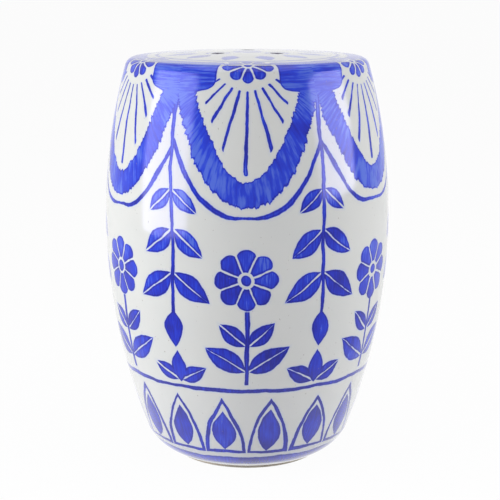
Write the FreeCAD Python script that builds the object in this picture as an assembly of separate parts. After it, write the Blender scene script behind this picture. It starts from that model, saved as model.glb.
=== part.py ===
import FreeCAD, Part
import math
import os
from FreeCAD import Vector

# A barrel-shaped garden stool in glazed ceramic, 457 mm tall and open underneath.
# The barrel is a lower and an upper half, luted together at the belly. A crowned seat
# with three drain holes is luted on top, and the foot, whose heel rolls under to a low
# standing rim, is luted below. Each joint is lapped: the inner half of the wall stands
# on as a tongue, and the neighbour's outer half laps over it. A coil of clay is worked
# over each joint from inside. Four rubber dots are stuck under the standing rim.
# Frame: +Z up, origin on the floor at the centre, the odd drain hole towards +Y.

# Overall form
height = 457.0            # floor to the crown of the seat
belly_radius = 159.5      # widest outside radius
belly_height = 270.0      # height of the widest place, where the two halves join
shoulder_radius = 137.5   # outside radius at the joint of wall and seat
base_radius = 104.5       # outside radius that the barrel's sweep would reach at the foot
heel_round = 50.0         # roll of the heel
foot_radius = 84.0        # outside radius of the standing rim
foot_rise = 1.2           # height that the standing rim drops below the heel's roll
rim_width = 24.0          # width of the standing rim, inside which the foot is open

# Clay
wall = 9.0                # thickness of the wall, the heel and the floor of the foot
seat_thickness = 11.0     # thickness of the seat
crown = 6.0               # rise of the seat from its edge to its middle
seat_side = 16.0          # height of the seat's side, from its joint to its sharp edge
foot_collar = 18.0        # height of plain wall above the heel, which takes the foot's joint
tongue = 6.0              # height of the tongue in the belly's and the foot's joint
slip_gap = 0.2            # slip left between two luted faces

# Coils inside the joints
band_height = 22.0        # height of the band over the belly's and the foot's joint
band_depth = 3.5          # how far that band stands in from the wall
corner_coil = 12.0        # width and height of the coil under the seat

# Edges
rim_round = 11.0          # roll of the seat's edge
mouth_round = 3.5         # roll of the opening's upper edge
trim_round = 1.0          # softened edges of the standing rim

# Drain holes
hole_count = 3
hole_radius = 6.0
hole_circle = 37.0        # radius of the circle that the holes stand on
hole_lip = 2.4            # roll of each hole's edge

# Rubber dots
pad_count = 4
pad_radius = 8.0
pad_thickness = 2.0
pad_edge = 0.6            # softened lower edge of a dot

AXIS = Vector(0, 0, 1)
CENTRE = Vector(0, 0, 0)
REACH = 0.05              # how near an edge has to be to count as found
STEPS = 20                # steps that close in on where two curves meet

# Levels and radii that follow
mouth_radius = foot_radius - rim_width
rim_level = pad_thickness
heel_level = rim_level + foot_rise
edge_level = height - crown
seat_joint = edge_level - seat_side

# A lapped joint: the outer half of the wall, then the slip, then the tongue
lap = (wall - slip_gap) / 2
tongue_face = lap + slip_gap


def sweep_radius(swell, rise):
    """Radius of an arc that starts upright and comes in by swell over a rise."""
    return (rise ** 2 + swell ** 2) / (2 * swell)


upper_sweep = sweep_radius(belly_radius - shoulder_radius, seat_joint - belly_height)
lower_sweep = sweep_radius(belly_radius - base_radius, belly_height - rim_level)


def barrel_radius(z, inset=0.0):
    """Radius of the barrel at height z, on the surface that lies inset inside its outside."""
    sweep = upper_sweep if z > belly_height else lower_sweep
    return belly_radius - sweep + math.sqrt((sweep - inset) ** 2 - (z - belly_height) ** 2)


# The heel's roll: a circle that touches the lower sweep from inside and the heel's level
heel_middle = heel_level + heel_round
heel_centre = barrel_radius(heel_middle, heel_round)
heel_slope = math.asin((belly_height - heel_middle) / (lower_sweep - heel_round))
inner_heel_top = heel_middle - (heel_round - wall) * math.sin(heel_slope)
foot_joint = inner_heel_top + foot_collar

# The seat's crown: a circle centred on the axis
edge_radius = barrel_radius(edge_level)
crown_sweep = sweep_radius(crown, edge_radius)


def crown_level(radius, inset=0.0):
    """Height of the crowned seat at a radius, on the surface that lies inset below its top."""
    return height - crown_sweep + math.sqrt((crown_sweep - inset) ** 2 - radius ** 2)


def meeting_level(seat_inset, wall_inset):
    """Height where a surface inside the seat meets one inside the wall, closed in on by steps."""
    z = edge_level - seat_inset
    for _ in range(STEPS):
        z = crown_level(barrel_radius(z, wall_inset), seat_inset)
    return z


underside_edge = meeting_level(seat_thickness, lap)


def point(radius, z):
    return Vector(radius, 0, z)


def arc(first, middle, last):
    return Part.Arc(point(*first), point(*middle), point(*last)).toShape()


def lines(*corners):
    """Straight edges through the corners, in order."""
    pairs = zip(corners, corners[1:])
    return [Part.LineSegment(point(*a), point(*b)).toShape() for a, b in pairs]


def on_barrel(z, inset=0.0):
    return (barrel_radius(z, inset), z)


def on_crown(radius, inset=0.0):
    return (radius, crown_level(radius, inset))


def on_heel(slope, inset=0.0):
    """Point of the heel's roll where its surface faces down by a slope, in radians."""
    reach = heel_round - inset
    return (heel_centre + reach * math.cos(slope), heel_middle - reach * math.sin(slope))


def barrel_arc(start, end, inset=0.0):
    """Outline of the barrel from height start to end, both on one side of the belly."""
    return arc(on_barrel(start, inset), on_barrel((start + end) / 2, inset), on_barrel(end, inset))


def crown_arc(start, end, inset=0.0):
    """Outline of the seat's crown from radius start to end."""
    return arc(on_crown(start, inset), on_crown((start + end) / 2, inset), on_crown(end, inset))


def heel_arc(start, end, inset=0.0):
    """Outline of the heel's roll from slope start to end."""
    return arc(on_heel(start, inset), on_heel((start + end) / 2, inset), on_heel(end, inset))


def turn(edges):
    """One turned solid from a closed outline."""
    return Part.Face(Part.Wire(edges)).revolve(CENTRE, AXIS, 360)


def rounded(solid, radius, edges):
    """The solid with those edges rolled."""
    return solid.makeFillet(radius, edges).Solids[0]


def rings_at(solid, radius, z):
    """The solid's circular edges of that radius and height about the Z axis."""
    found = []
    for edge in solid.Edges:
        if edge.Degenerated or not isinstance(edge.Curve, Part.Circle):
            continue
        if abs(edge.Curve.Radius - radius) < REACH and abs(edge.Curve.Center.z - z) < REACH:
            found.append(edge)
    return found


def make_lower_wall():
    """Lower half of the barrel. A tongue stands up at the belly and another down at the foot."""
    bottom = foot_joint + slip_gap
    tongue_bottom = foot_joint - tongue
    tongue_top = belly_height + tongue
    edges = [barrel_arc(bottom, belly_height)]
    edges += lines(on_barrel(belly_height), on_barrel(belly_height, tongue_face))
    edges.append(barrel_arc(belly_height, tongue_top, tongue_face))
    edges += lines(on_barrel(tongue_top, tongue_face), on_barrel(tongue_top, wall))
    edges.append(barrel_arc(tongue_top, belly_height, wall))
    edges.append(barrel_arc(belly_height, tongue_bottom, wall))
    edges += lines(on_barrel(tongue_bottom, wall), on_barrel(tongue_bottom, tongue_face))
    edges.append(barrel_arc(tongue_bottom, bottom, tongue_face))
    edges += lines(on_barrel(bottom, tongue_face), on_barrel(bottom))
    return turn(edges)


def make_upper_wall():
    """Upper half of the barrel. It laps over the belly's tongue and has one under the seat."""
    bottom = belly_height + slip_gap
    lap_top = belly_height + tongue + slip_gap
    tongue_top = underside_edge - slip_gap
    edges = [barrel_arc(bottom, seat_joint)]
    edges += lines(on_barrel(seat_joint), on_barrel(seat_joint, tongue_face))
    edges.append(barrel_arc(seat_joint, tongue_top, tongue_face))
    edges += lines(on_barrel(tongue_top, tongue_face), on_barrel(tongue_top, wall))
    edges.append(barrel_arc(tongue_top, lap_top, wall))
    edges += lines(on_barrel(lap_top, wall), on_barrel(lap_top, lap))
    edges.append(barrel_arc(lap_top, bottom, lap))
    edges += lines(on_barrel(bottom, lap), on_barrel(bottom))
    return turn(edges)


def hole_centres():
    """Middles of the drain holes, the first one towards +Y."""
    turns = [math.pi / 2 + 2 * math.pi * i / hole_count for i in range(hole_count)]
    return [(hole_circle * math.cos(a), hole_circle * math.sin(a)) for a in turns]


def hole_rims(disc):
    """Both rims of each drain hole, without the seam line along the hole."""
    found = []
    for face in disc.Faces:
        if isinstance(face.Surface, Part.Cylinder) and abs(face.Surface.Radius - hole_radius) < REACH:
            found += [edge for edge in face.Edges if not isinstance(edge.Curve, Part.Line)]
    return found


def make_seat():
    """Crowned seat with a rolled edge, a lip over the wall's tongue, and its drain holes."""
    bottom = seat_joint + slip_gap
    lip_radius = barrel_radius(underside_edge, lap)
    edges = [crown_arc(0, edge_radius), barrel_arc(edge_level, bottom)]
    edges += lines(on_barrel(bottom), on_barrel(bottom, lap))
    edges.append(barrel_arc(bottom, underside_edge, lap))
    edges.append(crown_arc(lip_radius, 0, seat_thickness))
    edges += lines(on_crown(0, seat_thickness), on_crown(0))
    disc = turn(edges)
    disc = rounded(disc, rim_round, rings_at(disc, edge_radius, edge_level))
    for x, y in hole_centres():
        start = Vector(x, y, seat_joint)
        disc = disc.cut(Part.makeCylinder(hole_radius, height - seat_joint, start))
    return rounded(disc, hole_lip, hole_rims(disc))


def make_foot():
    """Turned foot: a collar, the heel rolled under, and a low rim round the open mouth."""
    top = foot_joint
    tongue_seat = foot_joint - tongue - slip_gap
    heel_top = on_heel(heel_slope)[1]
    rim_slope = math.acos((foot_radius - heel_centre) / heel_round)
    under = math.pi / 2
    floor_level = heel_level + wall
    edges = [barrel_arc(top, heel_top), heel_arc(heel_slope, rim_slope)]
    edges += lines(on_heel(rim_slope), (foot_radius, rim_level), (mouth_radius, rim_level),
                   (mouth_radius, floor_level), on_heel(under, wall))
    edges.append(heel_arc(under, heel_slope, wall))
    edges.append(barrel_arc(inner_heel_top, tongue_seat, wall))
    edges += lines(on_barrel(tongue_seat, wall), on_barrel(tongue_seat, lap))
    edges.append(barrel_arc(tongue_seat, top, lap))
    edges += lines(on_barrel(top, lap), on_barrel(top))
    ring = turn(edges)
    rim = rings_at(ring, foot_radius, rim_level) + rings_at(ring, mouth_radius, rim_level)
    ring = rounded(ring, trim_round, rim)
    return rounded(ring, mouth_round, rings_at(ring, mouth_radius, floor_level))


def make_band(seam):
    """Band of clay worked over a seam inside the barrel, thickest at the seam."""
    low = seam - band_height / 2
    high = seam + band_height / 2
    back = wall + slip_gap
    edges = [barrel_arc(low, high, back)]
    if low < belly_height < high:
        edges = [barrel_arc(low, belly_height, back), barrel_arc(belly_height, high, back)]
    crest = on_barrel(seam, back + band_depth)
    edges.append(arc(on_barrel(high, back), crest, on_barrel(low, back)))
    return turn(edges)


def make_corner_coil():
    """Coil of clay pressed into the corner of wall and seat, with a hollowed face."""
    wall_side = wall + slip_gap
    seat_face = seat_thickness + slip_gap
    corner_level = meeting_level(seat_face, wall_side)
    corner_radius = barrel_radius(corner_level, wall_side)
    low = corner_level - corner_coil
    inward = corner_radius - corner_coil
    hollow = corner_coil * (1 - math.sqrt(0.5))
    middle = (corner_radius - hollow, corner_level - hollow)
    back = barrel_arc(low, corner_level, wall_side)
    front = arc(on_crown(inward, seat_face), middle, on_barrel(low, wall_side))
    return turn([back, crown_arc(corner_radius, inward, seat_face), front])


def make_pad(number):
    """One rubber dot in the middle of the standing rim's width, its lower edge softened."""
    turned = 2 * math.pi * (number - 0.5) / pad_count
    circle = foot_radius - rim_width / 2
    place = Vector(circle * math.cos(turned), circle * math.sin(turned), 0)
    pad = Part.makeCylinder(pad_radius, pad_thickness, place)
    lower = [edge for edge in pad.Edges if edge.BoundBox.ZMax < REACH]
    return rounded(pad, pad_edge, lower)


def main():
    pieces = {
        "lower_wall": make_lower_wall(),
        "upper_wall": make_upper_wall(),
        "seat": make_seat(),
        "foot": make_foot(),
        "belly_seam_coil": make_band(belly_height + tongue),
        "foot_seam_coil": make_band(foot_joint - tongue),
        "seat_seam_coil": make_corner_coil(),
    }
    for number in range(1, pad_count + 1):
        pieces[f"floor_pad_{number}"] = make_pad(number)
    os.makedirs("parts", exist_ok=True)
    for name, solid in pieces.items():
        box = solid.optimalBoundingBox()
        print(f"{name}: {solid.ShapeType}, valid {solid.isValid()}, {solid.Volume / 1000:.1f} cm3, "
              f"z {box.ZMin:.2f} to {box.ZMax:.2f}")
        solid.exportStep(f"parts/{name}.step")


main()
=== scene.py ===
import math

import bmesh
import bpy
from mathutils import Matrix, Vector
from mathutils.geometry import delaunay_2d_cdt


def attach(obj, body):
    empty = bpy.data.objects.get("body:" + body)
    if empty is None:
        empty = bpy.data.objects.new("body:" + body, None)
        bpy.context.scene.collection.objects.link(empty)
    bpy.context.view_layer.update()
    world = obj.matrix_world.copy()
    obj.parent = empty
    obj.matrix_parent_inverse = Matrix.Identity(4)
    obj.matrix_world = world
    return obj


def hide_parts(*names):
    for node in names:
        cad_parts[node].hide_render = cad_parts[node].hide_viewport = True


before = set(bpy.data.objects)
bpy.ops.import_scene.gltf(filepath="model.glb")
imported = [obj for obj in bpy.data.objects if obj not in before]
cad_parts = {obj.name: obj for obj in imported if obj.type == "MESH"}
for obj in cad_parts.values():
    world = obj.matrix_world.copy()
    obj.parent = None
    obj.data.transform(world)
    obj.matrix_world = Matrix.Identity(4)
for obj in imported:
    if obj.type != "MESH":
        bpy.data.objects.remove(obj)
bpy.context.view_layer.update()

# Garden stool: a thrown barrel of glazed white clay with cobalt brushwork. Metres throughout.

MM = 0.001

# Form, as turned
height = 457 * MM
belly_radius = 159.5 * MM
belly_height = 270 * MM
shoulder_radius = 137.5 * MM
base_radius = 104.5 * MM
heel_round = 50 * MM
foot_radius = 84 * MM
foot_rise = 1.2 * MM
rim_width = 24 * MM
wall = 9 * MM
seat_thickness = 11 * MM
crown = 6 * MM
seat_side = 16 * MM
foot_collar = 18 * MM
tongue = 6 * MM
slip_gap = 0.2 * MM
rim_round = 11 * MM
mouth_round = 3.5 * MM
trim_round = 1 * MM
hole_count = 3
hole_radius = 6 * MM
hole_circle = 37 * MM
hole_lip = 2.4 * MM
pad_thickness = 2 * MM
pad_count = 4

# Fineness of the surfaces
segments = 360
outer_step = 3 * MM
inner_step = 9 * MM
joint_step = 3 * MM
heel_step = 3 * MM
seam_step = 0.25 * MM
roll_steps = 14
trim_steps = 4
mouth_steps = 6
hole_segments = 48
lip_steps = 6

# The seat's faces are filled with points on a lattice of triangles
seat_lattice = 4.5 * MM
lattice_rows = math.sqrt(0.75)
edge_clearance = 0.8 * seat_lattice
lip_clearance = 0.6 * seat_lattice
hole_clearance = 0.3 * MM

mouth_radius = foot_radius - rim_width
rim_level = pad_thickness
heel_level = rim_level + foot_rise
edge_level = height - crown
seat_joint = edge_level - seat_side
lap = (wall - slip_gap) / 2
tongue_face = lap + slip_gap


def sweep_radius(swell, rise):
    """Radius of an arc that starts upright and comes in by swell over a rise."""
    return (rise ** 2 + swell ** 2) / (2 * swell)


upper_sweep = sweep_radius(belly_radius - shoulder_radius, seat_joint - belly_height)
lower_sweep = sweep_radius(belly_radius - base_radius, belly_height - rim_level)


def barrel_radius(z, inset=0.0):
    """Radius of the barrel at a height, on the surface that lies inset inside its outside."""
    sweep = upper_sweep if z > belly_height else lower_sweep
    return belly_radius - sweep + math.sqrt((sweep - inset) ** 2 - (z - belly_height) ** 2)


heel_middle = heel_level + heel_round
heel_centre = barrel_radius(heel_middle, heel_round)
heel_slope = math.asin((belly_height - heel_middle) / (lower_sweep - heel_round))
inner_heel_top = heel_middle - (heel_round - wall) * math.sin(heel_slope)
foot_joint = inner_heel_top + foot_collar
edge_radius = barrel_radius(edge_level)
crown_sweep = sweep_radius(crown, edge_radius)


def crown_level(radius, inset=0.0):
    """Height of the crowned seat at a radius, on the surface that lies inset below its top."""
    return height - crown_sweep + math.sqrt((crown_sweep - inset) ** 2 - radius ** 2)


def meeting_level(seat_inset, wall_inset, rounds=20):
    """Height where a surface inside the seat meets one inside the wall, found in rounds."""
    z = edge_level - seat_inset
    for _ in range(rounds):
        z = crown_level(barrel_radius(z, wall_inset), seat_inset)
    return z


underside_edge = meeting_level(seat_thickness, lap)

# The rolled edge of the seat touches the barrel below and the crown above
roll_level = meeting_level(rim_round, rim_round)
roll_radius = barrel_radius(roll_level, rim_round)
roll_start = math.asin((roll_level - belly_height) / (upper_sweep - rim_round))
roll_end = math.pi / 2 - math.asin(roll_radius / (crown_sweep - rim_round))


# Outlines, as points of radius and height

def steps(start, end, step):
    """Evenly spaced values from start to end, about a step apart, with both ends."""
    count = max(1, math.ceil(abs(end - start) / step))
    return [start + (end - start) * i / count for i in range(count + 1)]


def seamed(start, end, step):
    """Steps with one more close to each end, so that neighbours meet with one shading."""
    close = math.copysign(seam_step, end - start)
    return [start] + steps(start + close, end - close, step) + [end]


def barrel_line(levels, inset=0.0):
    return [(barrel_radius(z, inset), z) for z in levels]


def heel_line(start, end, inset=0.0):
    reach = heel_round - inset
    turns = steps(start, end, heel_step / reach)
    return [(heel_centre + reach * math.cos(a), heel_middle - reach * math.sin(a)) for a in turns]


def round_line(centre, reach, start, end, count):
    turns = [start + (end - start) * i / count for i in range(count + 1)]
    return [(centre[0] + reach * math.cos(a), centre[1] + reach * math.sin(a)) for a in turns]


belly_seam = belly_height + slip_gap / 2
foot_seam = foot_joint + slip_gap / 2
seat_seam = seat_joint + slip_gap / 2


def lower_wall_outline():
    """Glazed points first, then the bare ones."""
    glazed = barrel_line(seamed(foot_seam, belly_seam, outer_step))
    bare = barrel_line(steps(belly_seam, belly_height + tongue, joint_step), tongue_face)
    bare += barrel_line(steps(belly_height + tongue, foot_joint - tongue, inner_step), wall)
    bare += barrel_line(steps(foot_joint - tongue, foot_seam, joint_step), tongue_face)
    return glazed, bare


def upper_wall_outline():
    glazed = barrel_line(seamed(belly_seam, seat_seam, outer_step))
    lap_top = belly_height + tongue + slip_gap
    tongue_top = underside_edge - slip_gap
    bare = barrel_line(steps(seat_seam, tongue_top, joint_step), tongue_face)
    bare += barrel_line(steps(tongue_top, lap_top, inner_step), wall)
    bare += barrel_line(steps(lap_top, belly_seam, joint_step), lap)
    return glazed, bare


def foot_outline():
    rim_slope = math.acos((foot_radius - heel_centre) / heel_round)
    heel_top = heel_middle - heel_round * math.sin(heel_slope)
    floor_level = heel_level + wall
    glazed = barrel_line(seamed(foot_seam, heel_top, outer_step))
    glazed += heel_line(heel_slope, rim_slope)[1:]
    corner = foot_radius - trim_round, rim_level + trim_round
    bare = round_line(corner, trim_round, 0, -math.pi / 2, trim_steps)
    corner = mouth_radius + trim_round, rim_level + trim_round
    bare += round_line(corner, trim_round, -math.pi / 2, -math.pi, trim_steps)
    corner = mouth_radius + mouth_round, floor_level - mouth_round
    bare += round_line(corner, mouth_round, math.pi, math.pi / 2, mouth_steps)
    bare += heel_line(math.pi / 2, heel_slope, wall)
    seat_level = foot_joint - tongue - slip_gap
    bare += barrel_line(steps(inner_heel_top, seat_level, inner_step)[1:], wall)
    bare += barrel_line(steps(seat_level, foot_seam, joint_step), lap)
    return glazed, bare


# Node trees

class Wire:
    """A node's output that Python's operators work on. Each adds a Math node."""

    def __init__(self, tree, socket):
        self.tree = tree
        self.socket = socket

    def math(self, operation, *values):
        node = add(self.tree, "ShaderNodeMath", {"operation": operation}, dict(enumerate(values)))
        return Wire(self.tree, node.outputs[0])

    def __add__(self, other):
        return self.math("ADD", self, other)

    def __sub__(self, other):
        return self.math("SUBTRACT", self, other)

    def __rsub__(self, other):
        return self.math("SUBTRACT", other, self)

    def __mul__(self, other):
        return self.math("MULTIPLY", self, other)

    def __truediv__(self, other):
        return self.math("DIVIDE", self, other)

    def __pow__(self, other):
        return self.math("POWER", self, other)

    def __neg__(self):
        return self.math("MULTIPLY", self, -1.0)

    def __abs__(self):
        return self.math("ABSOLUTE", self)

    __radd__ = __add__
    __rmul__ = __mul__


def add(tree, kind, settings=None, inputs=None):
    """A new node: its settings first, then the values or links of its sockets."""
    node = tree.nodes.new(kind)
    for name, value in (settings or {}).items():
        if name == "stops":
            ramp = node.color_ramp
            while len(ramp.elements) < len(value):
                ramp.elements.new(0.5)
            for element, (place, colour) in zip(ramp.elements, value):
                element.position = place
                element.color = (*colour, 1.0)
        else:
            setattr(node, name, value)
    for key, value in (inputs or {}).items():
        if isinstance(value, Wire):
            tree.links.new(value.socket, node.inputs[key])
        elif isinstance(value, bpy.types.NodeSocket):
            tree.links.new(value, node.inputs[key])
        else:
            node.inputs[key].default_value = value
    return node


def out(tree, kind, settings=None, inputs=None, output=0):
    """The chosen output of a new node, ready for operators."""
    return Wire(tree, add(tree, kind, settings, inputs).outputs[output])


def least(*values):
    found = values[0]
    for value in values[1:]:
        found = found.math("MINIMUM", found, value)
    return found


def most(*values):
    found = values[0]
    for value in values[1:]:
        found = found.math("MAXIMUM", found, value)
    return found


def sine(value):
    return value.math("SINE", value)


def cosine(value):
    return value.math("COSINE", value)


def root(value):
    return value.math("SQRT", value)


def nearest(value):
    return value.math("ROUND", value)


def length(a, b):
    return root(a * a + b * b)


def ramp(value, start, end):
    """Smooth step from 0 at start to 1 at end. The start may lie above the end."""
    settings = {"interpolation_type": "SMOOTHSTEP"}
    inputs = {"Value": value, "From Min": start, "From Max": end}
    return out(value.tree, "ShaderNodeMapRange", settings, inputs)


def clamped(value, low, high):
    inputs = {"Value": value, "Min": low, "Max": high}
    return out(value.tree, "ShaderNodeClamp", None, inputs)


def noise(place, scale, detail=2.0):
    """Noise between 0 and 1 at a place, in features about 1/scale metres wide."""
    inputs = {"Vector": place, "Scale": scale, "Detail": detail}
    return out(place.tree, "ShaderNodeTexNoise", None, inputs)


def split(vector):
    node = add(vector.tree, "ShaderNodeSeparateXYZ", None, {0: vector})
    return [Wire(vector.tree, socket) for socket in node.outputs]


def joined(tree, x, y, z):
    return out(tree, "ShaderNodeCombineXYZ", None, {0: x, 1: y, 2: z})


def blend(factor, first, second):
    """Colour that goes from the first to the second as the factor goes from 0 to 1."""
    tree = factor.tree
    first = (*first, 1.0) if isinstance(first, tuple) else first
    second = (*second, 1.0) if isinstance(second, tuple) else second
    inputs = {0: factor, 6: first, 7: second}
    return out(tree, "ShaderNodeMix", {"data_type": "RGBA"}, inputs, 2)


# Turned pieces

UNEVENNESS = {"Unevenness": 0.5 * MM, "Patches per metre": 9.0}
FINISH_INPUTS = [("Unevenness", "NodeSocketFloat"), ("Patches per metre", "NodeSocketFloat")]
fine_patches = 4.0             # finer patches to each broad one
broad_part = 0.8               # what the broad patches add to the unevenness
fine_part = 0.2
wall_blend = 10 * MM           # from the seat's face, pressed down, to the wall, pressed in
axis_guard = 1e-6
sharp_edge = math.radians(40)
merge_distance = 0.001 * MM


def geometry_tree(name, inputs):
    """A tree with one geometry input and output, and named inputs for its sizes."""
    tree = bpy.data.node_groups.new(name, "GeometryNodeTree")
    tree.interface.new_socket("Geometry", in_out="INPUT", socket_type="NodeSocketGeometry")
    for label, kind in inputs:
        tree.interface.new_socket(label, in_out="INPUT", socket_type=kind)
    tree.interface.new_socket("Geometry", in_out="OUTPUT", socket_type="NodeSocketGeometry")
    given = tree.nodes.new("NodeGroupInput")
    wires = {socket.name: Wire(tree, socket) for socket in given.outputs if socket.name}
    return tree, wires


def hand_finish(tree, mesh, given):
    """The small unevenness of a hand-trimmed wall, always inwards, and its shading."""
    place = out(tree, "GeometryNodeInputPosition")
    broad = noise(place, given["Patches per metre"], 1.0)
    fine = noise(place, given["Patches per metre"] * fine_patches)
    depth = (broad * broad_part + fine * fine_part) * given["Unevenness"]
    x, y, _ = split(place)
    radius = length(x, y)
    on_wall = ramp(radius, roll_radius - wall_blend, roll_radius)
    inward = -(depth * on_wall) / (radius + axis_guard)
    offset = joined(tree, x * inward, y * inward, -(depth * (1 - on_wall)))
    moved = out(tree, "GeometryNodeSetPosition", None, {"Geometry": mesh, "Offset": offset})
    smooth = out(tree, "GeometryNodeSetShadeSmooth", None, {"Geometry": moved})
    angle = out(tree, "GeometryNodeInputMeshEdgeAngle")
    sharp = out(tree, "FunctionNodeCompare", {"data_type": "FLOAT", "operation": "GREATER_THAN"},
                {0: angle, 1: sharp_edge})
    inputs = {"Geometry": smooth, "Selection": sharp, "Shade Smooth": False}
    return out(tree, "GeometryNodeSetShadeSmooth", {"domain": "EDGE"}, inputs)


def finish_tree(tree, mesh):
    whole = out(tree, "GeometryNodeRealizeInstances", None, {0: mesh})
    add(tree, "NodeGroupOutput", None, {0: whole})


def make_turning_tree():
    """Turns an outline, whose points are in order, into a closed wall about the Z axis."""
    tree, given = geometry_tree("turned_ware", FINISH_INPUTS + [
        ("Segments", "NodeSocketInt"), ("Glazed rows", "NodeSocketInt"),
        ("Glaze", "NodeSocketMaterial"), ("Clay", "NodeSocketMaterial")])
    size = add(tree, "GeometryNodeAttributeDomainSize", {"component": "MESH"},
               {0: given["Geometry"]})
    rows = Wire(tree, size.outputs["Point Count"])
    columns = given["Segments"] + 1
    grid = add(tree, "GeometryNodeMeshGrid", None, {"Vertices X": rows + 1, "Vertices Y": columns})
    index = out(tree, "GeometryNodeInputIndex")
    row = index.math("FLOOR", (index + 0.5) / columns)
    column = index - row * columns
    wrapped = row.math("FLOORED_MODULO", row, rows)
    place = out(tree, "GeometryNodeSampleIndex", {"data_type": "FLOAT_VECTOR", "domain": "POINT"},
                {"Geometry": given["Geometry"], "Value": out(tree, "GeometryNodeInputPosition"),
                 "Index": wrapped})
    radius, _, level = split(place)
    turn = column * math.tau / given["Segments"]
    ring = joined(tree, radius * cosine(turn), radius * sine(turn), level)
    rolled = out(tree, "GeometryNodeSetPosition", None,
                 {"Geometry": Wire(tree, grid.outputs["Mesh"]), "Position": ring})
    clay = out(tree, "GeometryNodeSetMaterial", None,
               {"Geometry": rolled, "Material": given["Clay"]})
    face_row = index.math("FLOOR", (index + 0.5) / given["Segments"])
    outside = out(tree, "FunctionNodeCompare", {"data_type": "FLOAT", "operation": "LESS_THAN"},
                  {0: face_row, 1: given["Glazed rows"] - 1.5})
    dressed = out(tree, "GeometryNodeSetMaterial", None,
                  {"Geometry": clay, "Selection": outside, "Material": given["Glaze"]})
    closed = out(tree, "GeometryNodeMergeByDistance", None,
                 {"Geometry": dressed, "Distance": merge_distance})
    finish_tree(tree, hand_finish(tree, closed, given))
    return tree


def make_finish_tree():
    """Gives a mesh that is already closed the same unevenness and shading."""
    tree, given = geometry_tree("hand_finished", FINISH_INPUTS)
    finish_tree(tree, hand_finish(tree, given["Geometry"], given))
    return tree


def shaped(piece, tree, values):
    """Runs a tree on a piece, its inputs set by name, and keeps the result as plain mesh."""
    modifier = piece.modifiers.new("shape", "NODES")
    modifier.node_group = tree
    for item in tree.interface.items_tree:
        if item.in_out == "INPUT" and item.name in values:
            modifier[item.identifier] = values[item.name]
    bpy.context.view_layer.update()
    graph = bpy.context.evaluated_depsgraph_get()
    mesh = bpy.data.meshes.new_from_object(piece.evaluated_get(graph), depsgraph=graph)
    piece.modifiers.clear()
    piece.data = mesh
    mesh.name = piece.name


def mesh_piece(name, points, edges=(), faces=()):
    mesh = bpy.data.meshes.new(name)
    mesh.from_pydata(points, edges, faces)
    piece = bpy.data.objects.new(name, mesh)
    bpy.context.scene.collection.objects.link(piece)
    return piece


def face_outwards(piece):
    """Turns the faces of a closed mesh outwards."""
    work = bmesh.new()
    work.from_mesh(piece.data)
    bmesh.ops.recalc_face_normals(work, faces=work.faces)
    if work.calc_volume(signed=True) < 0:
        bmesh.ops.reverse_faces(work, faces=work.faces)
    work.to_mesh(piece.data)
    work.free()


def turned_piece(name, node, outline, tree, glaze, clay):
    glazed, bare = outline
    points = [(radius, 0.0, level) for radius, level in glazed + bare]
    edges = [(i, i + 1) for i in range(len(points) - 1)]
    piece = mesh_piece(name, points, edges)
    values = {"Segments": segments, "Glazed rows": len(glazed), "Glaze": glaze, "Clay": clay}
    shaped(piece, tree, {**UNEVENNESS, **values})
    face_outwards(piece)
    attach(piece, "root")
    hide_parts(node)


# The seat

def hole_centres():
    """Middles of the drain holes, the first one towards +Y."""
    turns = [math.pi / 2 + math.tau * i / hole_count for i in range(hole_count)]
    return [(hole_circle * math.cos(a), hole_circle * math.sin(a)) for a in turns]


class Skin:
    """Points and faces of one closed surface, and which of its faces are bare clay."""

    def __init__(self):
        self.points = []
        self.faces = []
        self.bare = []

    def ring(self, radius, level, count, centre=(0.0, 0.0)):
        """A ring of points. The level is a height, or a function of the distance from the axis."""
        first = len(self.points)
        for i in range(count):
            turn = math.tau * i / count
            x = centre[0] + radius * math.cos(turn)
            y = centre[1] + radius * math.sin(turn)
            z = level(math.hypot(x, y)) if callable(level) else level
            self.points.append((x, y, z))
        return list(range(first, first + count))

    def bridge(self, one, other, bare=False):
        for i in range(len(one)):
            j = (i + 1) % len(one)
            self.faces.append((one[i], one[j], other[j], other[i]))
            self.bare.append(bare)

    def grow(self, ring, line, bare=False):
        """Rings along a line of radius and height, each bridged to the one before."""
        for radius, level in line:
            following = self.ring(radius, level, len(ring))
            self.bridge(ring, following, bare)
            ring = following
        return ring

    def web(self, outer, holes, level, bare=False):
        """Fills between an outer ring and rings round the holes with even triangles."""
        loops = [outer] + holes
        flat = [Vector(self.points[i][:2]) for loop in loops for i in loop]
        names = [i for loop in loops for i in loop]
        edges = []
        start = 0
        for loop in loops:
            edges += [(start + i, start + (i + 1) % len(loop)) for i in range(len(loop))]
            start += len(loop)
        reach = flat[0].length - edge_clearance
        lip = hole_radius + hole_lip + lip_clearance
        opening = hole_radius + hole_lip - hole_clearance
        middles = [Vector(centre) for centre in hole_centres()]
        count = math.ceil(reach / seat_lattice)
        for row in range(-2 * count, 2 * count + 1):
            for column in range(-2 * count, 2 * count + 1):
                spot = Vector(((column + 0.5 * (row % 2)) * seat_lattice,
                               row * seat_lattice * lattice_rows))
                if spot.length < reach and all((spot - m).length > lip for m in middles):
                    names.append(len(self.points))
                    self.points.append((*spot, level(spot.length)))
                    flat.append(spot)
        _, _, faces, origin, _, _ = delaunay_2d_cdt(flat, edges, [], 0, 1e-7)
        for face in faces:
            corners = [names[origin[i][0]] if origin[i] else None for i in face]
            if None in corners:
                continue
            middle = sum((Vector(self.points[i][:2]) for i in corners), Vector((0, 0))) / 3
            if all((middle - m).length > opening for m in middles):
                self.faces.append(tuple(corners))
                self.bare.append(bare)


def lip_level(turn, inset, way):
    """Height of a hole's lip where it has turned by an angle from a face of the seat."""
    drop = hole_lip * (1 - math.cos(turn))
    return lambda distance: crown_level(distance, inset) + way * drop


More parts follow.
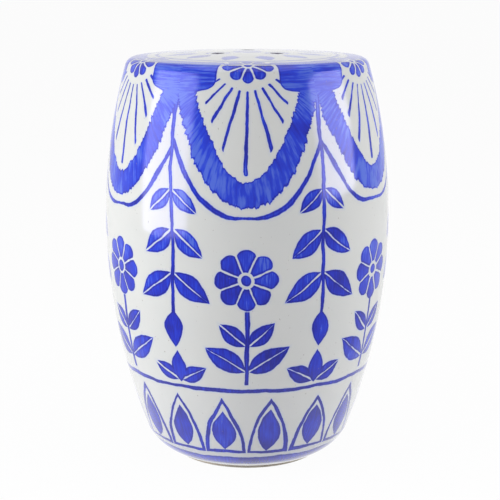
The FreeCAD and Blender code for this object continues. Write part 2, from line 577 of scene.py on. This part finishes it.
def pierce(skin, centre):
    """The lips and wall of a hole. Gives its rings in the top and in the underside."""
    turns = [math.pi / 2 * i / lip_steps for i in range(lip_steps + 1)]
    column = []
    for inset, way, order in ((0.0, -1, turns), (seat_thickness, 1, turns[::-1])):
        for turn in order:
            radius = hole_radius + hole_lip - hole_lip * math.sin(turn)
            level = lip_level(turn, inset, way)
            column.append(skin.ring(radius, level, hole_segments, centre))
    for one, other in zip(column, column[1:]):
        skin.bridge(one, other)
    return column[0], column[-1]


def underside_level(radius):
    return crown_level(radius, seat_thickness)


def make_seat(tree, glaze, clay):
    """The crowned seat, its rolled edge and its three holes, which have rolled lips."""
    skin = Skin()
    seam = skin.ring(barrel_radius(seat_seam), seat_seam, segments)
    roll_foot = roll_level + rim_round * math.sin(roll_start)
    side = barrel_line(seamed(seat_seam, roll_foot, outer_step))[1:]
    roll = round_line((roll_radius, roll_level), rim_round, roll_start, roll_end, roll_steps)
    top_edge = skin.grow(seam, side + roll[1:])
    joint = barrel_line(steps(seat_seam, underside_edge, joint_step), lap)
    inner_edge = skin.grow(seam, joint, True)
    rims = [pierce(skin, centre) for centre in hole_centres()]
    skin.web(top_edge, [top for top, _ in rims], crown_level)
    skin.web(inner_edge, [low for _, low in rims], underside_level, True)
    piece = mesh_piece("glazed_seat", skin.points, (), skin.faces)
    piece.data.materials.append(glaze)
    piece.data.materials.append(clay)
    for face, bare in zip(piece.data.polygons, skin.bare):
        face.material_index = int(bare)
    face_outwards(piece)
    shaped(piece, tree, UNEVENNESS)
    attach(piece, "root")
    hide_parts("seat")


# Finishes

def new_material(name):
    material = bpy.data.materials.new(name)
    material.use_nodes = True
    material.node_tree.nodes.clear()
    return material, material.node_tree


def object_place(tree):
    node = add(tree, "ShaderNodeTexCoord")
    return Wire(tree, node.outputs["Object"])


def surface(tree, sockets, bump_height, bump_distance):
    """A Principled surface with a bump of the given height field, in bump distances."""
    normal = add(tree, "ShaderNodeBump", None,
                 {"Strength": 1.0, "Distance": bump_distance, "Height": bump_height})
    shader = add(tree, "ShaderNodeBsdfPrincipled", None,
                 {**sockets, "Normal": normal.outputs[0]})
    add(tree, "ShaderNodeOutputMaterial", None, {"Surface": shader.outputs[0]})


# Sizes of the brushwork. A level is a height above the floor. A row of leaves gives the level at
# which they part from the stem, their angle in degrees, their length and their half width.

# Every stroke
waver = 7 * MM                 # how far it strays from its line
waver_scale = 24.0
edge_waver = 2.4 * MM
edge_jitter = 1.1 * MM
jitter_scale = 210.0
line_half = 2.1 * MM           # half of a stem's width
stroke_fade = 1 * MM           # over which one kind of stroke gives way to another

# A leaf is widest before its middle, and a vein is left open in it
leaf_width = 4.9
leaf_lean = 1.8
leaf_stalk = 1.5 * MM
vein_half = 1 * MM
vein_length = 60 * MM
vein_taper = 0.012
slant = 0.85                   # how near a slanting outline is, for its distance along one axis
arch_power = 2.2               # how late an upright panel narrows to its point

# Scallops that hang from the seat's edge
panels = 6
scallop_seed = 3.0
garland_drop = 150 * MM        # how far the middle hangs
garland_play = 10 * MM         # how much that differs from one to the next
garland_half = 14 * MM         # half of the width in the middle
garland_taper = 4 * MM         # what the half width loses towards the ends
bristle_reach = 9 * MM         # how far the hairs of the brush break its edge
trace_gap = 24 * MM            # down to the thin line that follows it
trace_half = 1.7 * MM

# The fan inside a scallop, and blossoms: reach, number of petals, depth of the notches, gap
# between petals, open ring, and eye
fan_root = 6 * MM              # above the seat's edge
fan_turn = math.radians(13)    # from one stroke to the next
fan_start = 37 * MM            # away from the root
fan_end = 24 * MM              # above the middle of the scallop's band
fan_top = 4 * MM               # below the seat's edge
fan_half = 1.3 * MM
fan_growth = 0.008             # how a stroke widens on its way
fan_length = 100 * MM
petal_round = 0.6
petal_slant = 0.9
bud_form = (27 * MM, 10, 0.3, 1 * MM, 7 * MM, 4 * MM)
bloom_form = (33 * MM, 8, 0.24, 1 * MM, 9 * MM, 5.5 * MM)
rose_form = (17 * MM, 6, 0.3, 0.9 * MM, 4 * MM)

# The plant below a scallop
bloom_level = 230 * MM
bloom_play = 8 * MM
stem_foot = 116 * MM
stem_top = 199 * MM
stem_leaves = ((130 * MM, 33, 52 * MM, 12 * MM), (160 * MM, 42, 38 * MM, 9.5 * MM))

# Between the scallops: a cap over the rim, a vine that hangs from it, and a sprout
cap_half = 39 * MM
cap_corner = 9 * MM
cap_top = 24 * MM              # above the seat's edge
cap_drop = 28 * MM             # below the seat's edge, at its sides
cap_bulge = 7 * MM             # how much lower its middle is
strand_seed = 41.0
vine_play = 7 * MM
vine_still = 200 * MM          # level where it doesn't sway
vine_wave = 120 * MM
vine_start = 20 * MM           # below the seat's edge
vine_end = 187 * MM
hanging_leaves = ((326 * MM, -40, 35 * MM, 9 * MM), (284 * MM, -38, 44 * MM, 11.5 * MM),
                  (238 * MM, -36, 50 * MM, 13 * MM))
drop_level = 196 * MM
drop_length = 40 * MM
drop_half = 11 * MM
sprout_level = 114 * MM
sprout_length = 38 * MM
sprout_half = 9 * MM
sprout_leaves = ((116 * MM, 30, 36 * MM, 9 * MM),)

# Upright panels and lines at the foot
base_panels = 16
foot_seed = 77.0
panel_play = 2 * MM
panel_foot = 31 * MM
panel_half = 22 * MM
panel_tall = 68 * MM
panel_tall_play = 6 * MM
panel_inset = 1.5 * MM
panel_line_half = 1.7 * MM
heart_foot = 4 * MM            # above the foot of the panel
heart_length = 50 * MM
heart_half = 12.5 * MM
foot_lines = ((109 * MM, 2.1 * MM), (19 * MM, 6 * MM))   # level and half width

# The top of the seat
seat_leaves = 12
star_start = 56 * MM
star_length = 36 * MM
star_half = 9 * MM
seat_line = 100 * MM
seat_line_half = 1.9 * MM
hole_ring = 12 * MM
hole_ring_half = 1.6 * MM
seat_fade = (2 * MM, 4 * MM)   # where the wall's painting gives way to the seat's
far = 60 * MM                  # moves a painting out of reach

# How the hairs of the brush run, as stretches across, along and from one cell to the next
plain_hairs = (520.0, 42.0)
garland_hairs = (34.0, 40.0, 7.0)
cap_hairs = (26.0, 330.0, 5.0)
cap_contrast = 1.25


def chance(number, seed):
    """Three random values for a number."""
    node = add(number.tree, "ShaderNodeTexWhiteNoise", {"noise_dimensions": "1D"},
               {"W": number + seed})
    return split(Wire(number.tree, node.outputs["Color"]))


def leaf(along, across, reach, half):
    """Distance to a pointed leaf that starts at 0 and is widest before its middle."""
    share = clamped(along / reach, -0.5, 1.5)
    profile = share * (1 - share) * (leaf_width - share * leaf_lean)
    return (abs(across) - half * profile) * slant


def turned_by(x, y, angle):
    """Coordinates along and across a direction that rises by an angle."""
    c, s = math.cos(angle), math.sin(angle)
    return x * c + y * s, y * c - x * s


def leaf_pair(across, rise, angle, reach, half):
    """Two leaves that part from a stem at an angle, each with an unpainted vein."""
    along, over = turned_by(abs(across), rise, math.radians(angle))
    vein = vein_half - clamped(along, 0.0, vein_length) * vein_taper - abs(over)
    return most(leaf(along - leaf_stalk, over, reach, half), vein)


def leaf_pairs(across, level, rows):
    """Distance to the nearest of several pairs of leaves on one stem."""
    return least(*[leaf_pair(across, level - part, angle, reach, half)
                   for part, angle, reach, half in rows])


def blossom(x, y, reach, count, notch, gap, ring, eye=None):
    """Distance to a round blossom, with gaps between its petals and an open ring inside."""
    turn = x.math("ARCTAN2", x, y)
    radius = length(x, y)
    wave = abs(cosine(turn * (count / 2)))
    edge = reach * (1 - notch) + (reach * notch) * wave ** petal_round
    between = abs(sine(turn * (count / 2) + math.pi / 2)) * radius * (2 / count)
    petals = most((radius - edge) * petal_slant, gap - between, ring - radius)
    return petals if eye is None else least(petals, radius - eye)


def arch(across, rise, half, tall):
    """Distance to a pointed upright panel."""
    share = clamped(rise / tall, 0.0, 1.0)
    profile = half * (1 - share ** arch_power)
    side = (abs(across) - profile) * slant
    return most(side, -rise, rise - tall)


class Painting:
    """The brushwork, as distances from painted edges. They are less than 0 in the paint."""

    def __init__(self, tree):
        self.tree = tree
        self.place = object_place(tree)
        bend = out(tree, "ShaderNodeTexNoise", None,
                   {"Vector": self.place, "Scale": waver_scale, "Detail": 2.0}, "Color")
        bend_x, bend_z, bend_edge = split(bend)
        jitter = noise(self.place, jitter_scale)
        self.x, self.y, z = split(self.place)
        self.radius = length(self.x, self.y)
        self.around = self.x.math("ARCTAN2", self.x, -self.y)
        self.level = z + (bend_z - 0.5) * waver
        self.slide = (bend_x - 0.5) * waver
        self.rise = (self.level - edge_level) + (edge_radius - self.radius)
        self.from_hole = least(*[length(self.x - x, self.y - y) for x, y in hole_centres()])

        garlands, fans, plants = self.paint_scallops()
        wall_paint = least(garlands, plants, self.paint_between(), self.paint_foot())
        seat_paint = self.paint_seat()
        on_seat = ramp(self.rise, *seat_fade)
        distance = least(wall_paint + on_seat * far, fans, seat_paint + (1 - on_seat) * far,
                         self.cap)
        self.distance = distance + (jitter - 0.5) * edge_jitter + (bend_edge - 0.5) * edge_waver

    def cells(self, count, shift):
        """Distance along the wall from the middle of a cell, and the cell's number."""
        place = self.around * (count / math.tau) + shift
        number = nearest(place)
        local = (place - number) * (math.tau / count)
        number = number.math("FLOORED_MODULO", number, float(count))
        return local * self.radius + self.slide, number

    def paint_scallops(self):
        """Scallops, with their middles towards the front and every 60 degrees from there."""
        self.side, number = self.cells(panels, 0.0)
        first, second, third = chance(number, scallop_seed)
        half_cell = self.radius * (math.pi / panels)
        share = self.side / half_cell
        drop = garland_drop + (first - 0.5) * garland_play
        bow = self.rise + drop * (1 - share * share)
        slope = share * 2 * drop / half_cell
        self.bow = bow / root(1 + slope * slope)
        self.fan_rise = self.rise - fan_root
        self.swing = self.side.math("ARCTAN2", self.side, -self.fan_rise)
        self.bristles = self.hairs(garland_hairs, self.swing, self.bow, number)
        garland = abs(self.bow) - (garland_half - share * share * garland_taper)
        self.garland = garland + (self.bristles - 0.5) * bristle_reach
        trace = abs(self.bow + trace_gap) - trace_half
        return least(self.garland, trace), self.paint_fan(), self.paint_plant(second, third)

    def paint_fan(self):
        """A fan of strokes inside each scallop, from a small half blossom at the rim."""
        reach = length(self.side, self.fan_rise)
        ray = (self.swing - nearest(self.swing / fan_turn) * fan_turn) * reach
        past = most(fan_start - reach, fan_end - self.bow, ray * 0.0)
        growth = clamped(reach - fan_start, 0.0, fan_length) * fan_growth
        strokes = most(length(ray, past) - fan_half - growth, self.rise + fan_top)
        return least(strokes, blossom(self.side, self.fan_rise, *bud_form))

    def paint_plant(self, lean, lift):
        """A blossom on a leafy stem below each scallop."""
        tilt = (lean - 0.5) * bloom_play
        above = self.level - bloom_level - (lift - 0.5) * bloom_play
        bloom = blossom(self.side + tilt, above, *bloom_form)
        stem_x = self.side + tilt * sine((self.level - stem_foot) * (math.pi / 2 / stem_foot))
        stem = most(abs(stem_x) - line_half, stem_foot - self.level, self.level - stem_top)
        return least(bloom, stem, leaf_pairs(stem_x, self.level, stem_leaves))

    def paint_between(self):
        """Between the scallops: a cap over the rim, leaves that hang from it, and a sprout."""
        self.hang_x, number = self.cells(panels, 0.5)
        cap_x = abs(self.hang_x) - (cap_half - cap_corner)
        cap_low = -cap_drop - (1 - (self.hang_x / cap_half) ** 2.0) * cap_bulge
        cap_middle = (cap_low + cap_top) * 0.5
        cap_y = abs(self.rise - cap_middle) - (cap_top - cap_low) * 0.5 + cap_corner
        none = cap_x * 0.0
        cap = length(most(cap_x, none), most(cap_y, none))
        self.cap = cap + least(most(cap_x, cap_y), none) - cap_corner

        sway = (chance(number, strand_seed)[0] - 0.5) * vine_play
        vine_x = self.hang_x + sway * sine((self.level - vine_still) * (math.pi / vine_wave))
        vine = most(abs(vine_x) - line_half, vine_end - self.level, self.rise + vine_start)
        hanging = leaf_pairs(vine_x, self.level, hanging_leaves)
        drop_leaf = leaf(drop_level - self.level, vine_x, drop_length, drop_half)
        sprout = leaf(self.level - sprout_level, self.hang_x, sprout_length, sprout_half)
        sprout_pair = leaf_pairs(self.hang_x, self.level, sprout_leaves)
        return least(vine, hanging, drop_leaf, sprout, sprout_pair)

    def paint_foot(self):
        """Upright panels, each with a leaf inside, between two lines round the foot."""
        panel_x, number = self.cells(base_panels, 0.5)
        first, second, _ = chance(number, foot_seed)
        panel_x = panel_x + (first - 0.5) * panel_play
        panel_y = self.level - panel_foot
        tall = panel_tall + (second - 0.5) * panel_tall_play
        outline = abs(arch(panel_x, panel_y, panel_half, tall) + panel_inset) - panel_line_half
        heart = leaf(panel_y - heart_foot, panel_x, heart_length, heart_half)
        lines = [abs(self.level - level) - half for level, half in foot_lines]
        return least(outline, heart, *lines)

    def paint_seat(self):
        """A ring of leaves, a line near the rim, a ring round each hole and a small rose."""
        star_x, self.seat_cell = self.cells(seat_leaves, 0.5)
        star = leaf(self.radius - star_start, star_x, star_length, star_half)
        line = abs(self.radius - seat_line) - seat_line_half
        rings = abs(self.from_hole - hole_ring) - hole_ring_half
        return least(star, line, rings, blossom(self.x, self.y, *rose_form))

    def hairs(self, stretch, across, along, cell):
        """Marks of single hairs, between 0 and 1."""
        marks = joined(self.tree, across * stretch[0], along * stretch[1], cell * stretch[2])
        return noise(marks, 1.0, 3.0)

    def streaks(self):
        """Marks of the hairs all over: up the wall, but across the scallops and round the caps."""
        across, along = plain_hairs
        marks = noise(joined(self.tree, self.side * across, self.level * along, 0.0), 1.0, 3.0)
        on_garland = (ramp(self.garland, stroke_fade, -stroke_fade)
                      * ramp(self.cap, -stroke_fade, stroke_fade))
        marks = marks + (self.bristles - marks) * on_garland
        wash = self.hairs(cap_hairs, self.hang_x, self.rise, self.seat_cell)
        on_cap = ramp(self.cap, stroke_fade, -stroke_fade)
        return marks + ((wash - 0.5) * cap_contrast + 0.5 - marks) * on_cap


# Cobalt, from none to the thickest
COBALT_STOPS = [
    (0.0, (0.692, 0.700, 0.668)),
    (0.12, (0.54, 0.59, 0.70)),
    (0.4, (0.10, 0.19, 0.72)),
    (0.58, (0.006, 0.042, 0.66)),
    (0.78, (0.002, 0.016, 0.50)),
    (1.0, (0.001, 0.006, 0.27))]
cobalt_load = 0.56             # where nothing thins or thickens it
thinnest = 0.45
streak_share = 0.75
cloud_share = 0.75
broad_share = 0.4
pool_share = 0.30
low_share = 0.20
low_fade = (360 * MM, 150 * MM)        # levels between which it thickens downwards
cover_fade = (0.5 * MM, -0.5 * MM)     # distances over which a stroke covers the white
pool_fade = (-2.2 * MM, -0.7 * MM)     # distances between which it pools towards its edge
bleed_fade = (3.5 * MM, 0.0)           # distances over which it bleeds into the white
bleed_share = 0.05

# White glaze, with patches of a greyer white and a few specks of iron
tint = (0.64, 0.665, 0.645)
tint_share = 0.35
speck = (0.20, 0.16, 0.13)
speck_share = 0.5
painted_hole_shade = (0.075, 0.066, 0.070)         # painted shade: a near-black colour on the lip and wall of each hole, standing in for the dark hollow below
# Distances from a hole's axis over which the painted shade of the hole comes in
painted_hole_shade_fade = (hole_radius + 1.7 * MM, hole_radius + 0.8 * MM)
glaze_gloss = {"IOR": 1.55, "Specular Tint": (0.60, 0.58, 1.0, 1.0), "Coat Roughness": 0.04,
               "Coat IOR": 1.5}
run_fade = (165 * MM, 80 * MM)         # levels between which the glaze has run thick
run_share = 0.9


def make_glaze():
    """Glossy white glaze over cobalt, brushed on in streaks that pool along their edges."""
    material, tree = new_material("cobalt_on_white_glaze")
    paint = Painting(tree)
    cover = ramp(paint.distance, *cover_fade)
    load = cobalt_load + (paint.streaks() - 0.5) * streak_share
    load = load + (noise(paint.place, 30.0, 3.0) - 0.5) * cloud_share
    load = load + (noise(paint.place, 9.0, 1.0) - 0.5) * broad_share
    load = load + ramp(paint.distance, *pool_fade) * pool_share
    load = load + ramp(paint.level, *low_fade) * low_share
    bleed = ramp(paint.distance, *bleed_fade) * bleed_share
    density = most(cover * clamped(load, thinnest, 1.0), bleed)
    cobalt = out(tree, "ShaderNodeValToRGB", {"stops": COBALT_STOPS}, {0: density})

    tinted = ramp(noise(paint.place, 14.0), 0.35, 0.75) * tint_share * (1 - cover)
    colour = blend(tinted, cobalt, tint)
    colour = blend(ramp(noise(paint.place, 460.0, 0.0), 0.82, 0.87) * speck_share, colour, speck)
    # Painted shade: the throat of each hole turns near black, as if the dark hollow below showed
    # through
    colour = blend(ramp(paint.from_hole, *painted_hole_shade_fade), colour, painted_hole_shade)

    peel = noise(paint.place, 95.0)
    ripple = noise(paint.place, 22.0, 1.0)
    bump_height = peel * 0.02 + ripple * 0.2 + cover * 0.012
    roughness = 0.05 + cover * 0.02 + noise(paint.place, 60.0) * 0.03
    coat = ramp(paint.level, *run_fade) * run_share
    sockets = {**glaze_gloss, "Base Color": colour, "Roughness": roughness, "Coat Weight": coat}
    surface(tree, sockets, bump_height, MM)
    return material


def make_clay():
    """Bare fired clay: pale, dry, with the fine rings of trimming and some grog."""
    material, tree = new_material("bare_fired_clay")
    place = object_place(tree)
    x, y, z = split(place)
    grain = noise(place, 900.0, 3.0)
    blotch = noise(place, 40.0, 3.0)
    rings = noise(joined(tree, x * 6.0, y * 6.0, z * 260.0), 1.0)
    shade = clamped(grain * 0.35 + blotch * 0.4 + rings * 0.25, 0.0, 1.0)
    stops = [(0.25, (0.50, 0.43, 0.35)), (0.5, (0.62, 0.56, 0.48)), (0.75, (0.72, 0.68, 0.61))]
    colour = out(tree, "ShaderNodeValToRGB", {"stops": stops}, {0: shade})
    roughness = 0.78 + grain * 0.15
    bump_height = rings * 0.25 + grain * 0.08
    surface(tree, {"Base Color": colour, "Roughness": roughness}, bump_height, MM)
    return material


def make_rubber():
    """Soft grey rubber of the dots underneath."""
    material, tree = new_material("pad_rubber")
    dust = noise(object_place(tree), 350.0, 3.0)
    colour = blend(ramp(dust, 0.45, 0.8), (0.055, 0.055, 0.058), (0.12, 0.12, 0.122))
    roughness = 0.55 + dust * 0.25
    surface(tree, {"Base Color": colour, "Roughness": roughness}, dust * 0.04, MM)
    return material


# The stage

floor_half = 40.0
floor_white = 0.965            # share of plain white in the floor, as it is seen
world_white = 0.97             # the world, as it is seen
world_light = 0.08             # the world, as it lights the piece
lamp_aim = Vector((0.0, 0.0, 0.25))

# Soft boxes: azimuth from the front in degrees, distance, level, width, tallness and power
SOFT_BOXES = {
    "left_soft_box": (-67, 1.5, 0.52, 1.4, 1.18, 24),
    "right_soft_box": (75, 1.6, 0.62, 1.25, 0.86, 18),
    "top_soft_box": (0, 0.4, 2.6, 3.2, 3.2, 48)}
box_half = 0.5                 # half of a soft box, in its own coordinates from 0 to 1
bright_across = 0.34           # how far from its middle it is at full strength
bright_up = 0.42

camera_place = (0.0, -1.539, 0.5604)
camera_tilt = 0.21             # downwards, in radians


def grey(level):
    return level, level, level


def seen(tree):
    """1 where the camera or a reflection looks, 0 where light falls on the piece."""
    rays = add(tree, "ShaderNodeLightPath")
    kinds = ("Is Camera Ray", "Is Glossy Ray", "Is Transmission Ray")
    return most(*[Wire(tree, rays.outputs[kind]) for kind in kinds])


def make_floor():
    corners = [(-floor_half, -floor_half, 0), (floor_half, -floor_half, 0),
               (floor_half, floor_half, 0), (-floor_half, floor_half, 0)]
    floor = mesh_piece("floor", corners, (), [(0, 1, 2, 3)])
    material, tree = new_material("pale_floor")
    colour = blend(noise(object_place(tree), 3.0), grey(0.86), grey(0.88))
    plain = add(tree, "ShaderNodeBsdfDiffuse", None, {"Color": colour})
    white = add(tree, "ShaderNodeEmission", None, {"Color": (1, 1, 1, 1), "Strength": 1.0})
    mixed = add(tree, "ShaderNodeMixShader", None,
                {0: seen(tree) * floor_white, 1: plain.outputs[0], 2: white.outputs[0]})
    add(tree, "ShaderNodeOutputMaterial", None, {"Surface": mixed.outputs[0]})
    floor.data.materials.append(material)


def make_world():
    world = bpy.data.worlds.new("studio")
    world.use_nodes = True
    bpy.context.scene.world = world
    tree = world.node_tree
    tree.nodes.clear()
    colour = blend(seen(tree), grey(world_light), grey(world_white))
    background = add(tree, "ShaderNodeBackground", None, {"Color": colour, "Strength": 1.0})
    add(tree, "ShaderNodeOutputWorld", None, {"Surface": background.outputs[0]})


def soft_box(name, azimuth, distance, level, width, tall, power):
    """A large soft light at an azimuth from the front, in degrees, that fades at its edges."""
    light = bpy.data.lights.new(name, "AREA")
    light.shape = "RECTANGLE"
    light.size = width
    light.size_y = tall
    light.energy = power
    light.use_nodes = True
    tree = light.node_tree
    tree.nodes.clear()
    across, up, _ = split(out(tree, "ShaderNodeNewGeometry", output="Parametric"))
    fade = (ramp(abs(across - box_half), box_half, bright_across)
            * ramp(abs(up - box_half), box_half, bright_up))
    emission = add(tree, "ShaderNodeEmission", None, {"Strength": fade})
    add(tree, "ShaderNodeOutputLight", None, {0: emission.outputs[0]})
    lamp = bpy.data.objects.new(name, light)
    bpy.context.scene.collection.objects.link(lamp)
    turn = math.radians(azimuth)
    lamp.location = (distance * math.sin(turn), -distance * math.cos(turn), level)
    lamp.rotation_euler = (lamp_aim - lamp.location).to_track_quat("-Z", "Y").to_euler()


def make_camera():
    camera = bpy.data.objects.new("camera", bpy.data.cameras.new("camera"))
    camera.data.lens = 99.4
    camera.data.sensor_width = 36.0
    camera.data.shift_x = 0.0054
    camera.data.clip_start = 0.05
    camera.data.clip_end = 200.0
    camera.location = camera_place
    camera.rotation_euler = (math.pi / 2 - camera_tilt, 0.0, 0.0)
    bpy.context.scene.collection.objects.link(camera)
    bpy.context.scene.camera = camera


def dress(node, material):
    """Gives a node that keeps its own shape a finish."""
    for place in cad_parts[node].material_slots:
        place.material = material


glaze = make_glaze()
clay = make_clay()
rubber = make_rubber()
turning = make_turning_tree()
finishing = make_finish_tree()

turned_piece("glazed_lower_wall", "lower_wall", lower_wall_outline(), turning, glaze, clay)
turned_piece("glazed_upper_wall", "upper_wall", upper_wall_outline(), turning, glaze, clay)
turned_piece("glazed_foot", "foot", foot_outline(), turning, glaze, clay)
make_seat(finishing, glaze, clay)

for node in ("belly_seam_coil", "foot_seam_coil", "seat_seam_coil"):
    dress(node, clay)
for number in range(1, pad_count + 1):
    dress(f"floor_pad_{number}", rubber)

make_floor()
make_world()
for name, sizes in SOFT_BOXES.items():
    soft_box(name, *sizes)
make_camera()
bpy.context.scene.view_settings.view_transform = "Standard"
